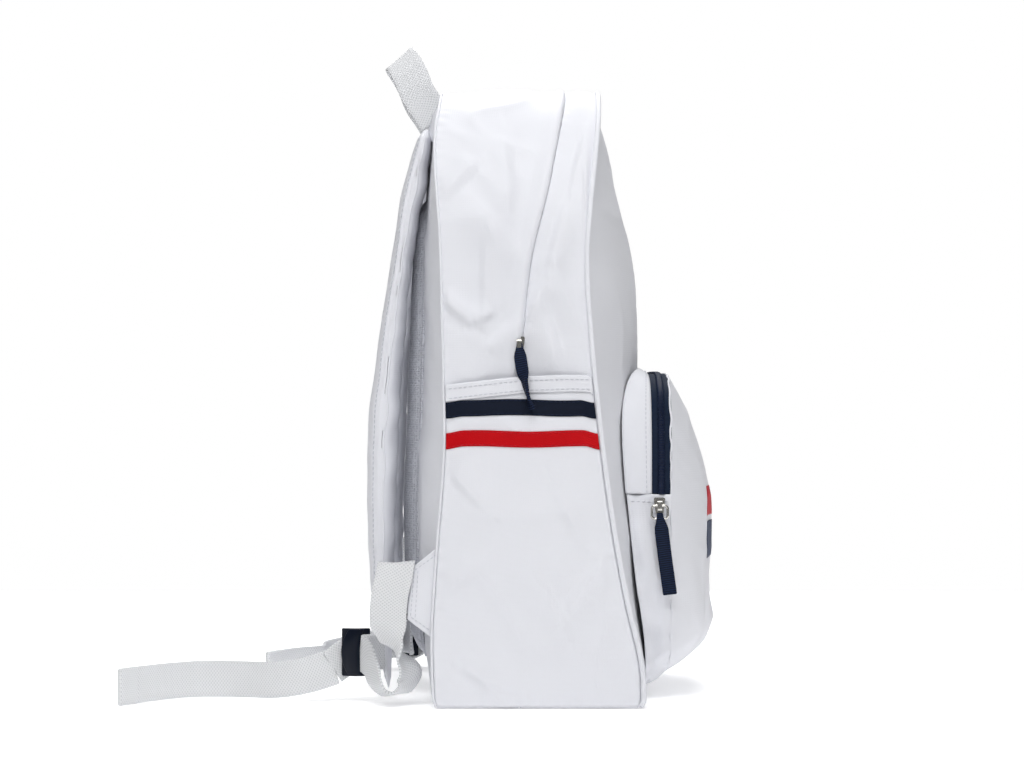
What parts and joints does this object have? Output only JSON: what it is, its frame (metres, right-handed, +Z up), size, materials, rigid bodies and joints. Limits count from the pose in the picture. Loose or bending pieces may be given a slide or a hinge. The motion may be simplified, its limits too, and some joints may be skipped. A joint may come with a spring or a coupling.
{
  "type": "racket backpack",
  "caption": "Upright soft racket backpack with a front zip pocket, side slip pockets with ribbons, padded shoulder straps and a haul loop.",
  "frame": {"origin": "centre of the bag's base, on the floor", "axes": "+Z up, -Y towards the front pocket, +Y towards the shoulder straps, -X is the wearer's left"},
  "size_m": [0.3193, 0.4102, 0.4636],
  "materials": {
    "shell_cloth": "smooth coated plain weave",
    "piping": "covered cord",
    "foam": "closed-cell foam",
    "stiffener": "sheet",
    "webbing": "ribbed webbing",
    "navy_ribbon": "grosgrain",
    "red_ribbon": "twill",
    "navy_tape": "woven tape",
    "zip_tape": "woven zipper tape",
    "zip_coil": "nylon coil",
    "nickel": "plated",
    "lock_plastic": "moulded"
  },
  "bodies": {
    "bag": {"bottom_panel": "shell_cloth", "base_board": "stiffener", "gusset_rear": "shell_cloth", "main_zip_tape_rear": "zip_tape", "front_panel_lower": "shell_cloth", "back_panel": "shell_cloth", "back_pad_foam": "foam", "back_pad_cover": "shell_cloth", "piping_lower": "piping", "strap_patch": "shell_cloth", "pocket_gusset": "shell_cloth", "pocket_tape_rear": "zip_tape", "pocket_gusset_lower": "shell_cloth", "pocket_front_lower": "shell_cloth", "pocket_zip_coil": "zip_coil", "side_pocket_left": "shell_cloth", "ribbon_navy_left": "navy_ribbon", "ribbon_red_left": "red_ribbon", "seam_tab_left": "shell_cloth", "webbing_loop_left": "webbing", "side_pocket_right": "shell_cloth", "ribbon_navy_right": "navy_ribbon", "ribbon_red_right": "red_ribbon", "seam_tab_right": "shell_cloth", "webbing_loop_right": "webbing"},
    "flap": {"gusset_front": "shell_cloth", "main_zip_tape_front": "zip_tape", "front_panel_upper": "shell_cloth", "piping_upper": "piping"},
    "pocket_flap": {"pocket_front_upper": "shell_cloth", "pocket_tape_front": "zip_tape"},
    "main_slider": {"main_slider": "nickel"},
    "main_pull": {"main_pull": "navy_tape"},
    "pocket_slider": {"pocket_slider": "nickel"},
    "pocket_pull": {"pocket_ring": "nickel", "pocket_pull": "navy_tape"},
    "haul_loop": {"haul_loop": "webbing"},
    "strap_left": {"strap_cover_left": "shell_cloth", "strap_foam_left": "foam", "strap_tape_left": "webbing", "webbing_tail_left": "webbing"},
    "lock_left": {"ladder_lock_left": "lock_plastic"},
    "strap_right": {"strap_cover_right": "shell_cloth", "strap_foam_right": "foam", "strap_tape_right": "webbing", "webbing_tail_right": "webbing"},
    "lock_right": {"ladder_lock_right": "lock_plastic"}
  },
  "joints": [
    {"name": "flap_open", "type": "hinge", "parent": "bag", "child": "flap", "pos_m": [0, -0.0925, 0.2302], "axis": [1, 0, 0], "range_deg": [0, 32]},
    {"name": "pocket_open", "type": "hinge", "parent": "bag", "child": "pocket_flap", "pos_m": [0, -0.1435, 0.1302], "axis": [1, 0, 0], "range_deg": [0, 35]},
    {"name": "main_zip_slide", "type": "slide", "parent": "bag", "child": "main_slider", "axis": [0, -0.1036, 0.9946], "range_m": [0, 0.06]},
    {"name": "main_pull_swing", "type": "hinge", "parent": "main_slider", "child": "main_pull", "pos_m": [-0.1546, -0.0048, 0.2455], "axis": [0, 1, 0], "range_deg": [0, 105]},
    {"name": "pocket_zip_slide", "type": "slide", "parent": "bag", "child": "pocket_slider", "axis": [0, 0, 1], "range_m": [0, 0.05]},
    {"name": "pocket_pull_swing", "type": "hinge", "parent": "pocket_slider", "child": "pocket_pull", "pos_m": [-0.1205, -0.1013, 0.1355], "axis": [0, 1, 0], "range_deg": [0, 105]},
    {"name": "haul_loop_swing", "type": "hinge", "parent": "bag", "child": "haul_loop", "pos_m": [0, 0.066, 0.408], "axis": [1, 0, 0], "range_deg": [-60, 10], "stiffness_Nm_per_rad": 0.03},
    {"name": "strap_left_swing", "type": "hinge", "parent": "bag", "child": "strap_left", "pos_m": [-0.073, 0.0575, 0.4], "axis": [1, 0, 0], "range_deg": [0, 16]},
    {"name": "strap_right_swing", "type": "hinge", "parent": "bag", "child": "strap_right", "pos_m": [0.073, 0.0575, 0.4], "axis": [1, 0, 0], "range_deg": [0, 16]},
    {"name": "lock_left_tilt", "type": "hinge", "parent": "strap_left", "child": "lock_left", "pos_m": [-0.108, 0.0995, 0.034], "axis": [0, 0, 1], "range_deg": [-12, 12]},
    {"name": "lock_right_tilt", "type": "hinge", "parent": "strap_right", "child": "lock_right", "pos_m": [0.1065, 0.0865, 0.0255], "axis": [0, 0, 1], "range_deg": [-12, 12]}
  ]
}
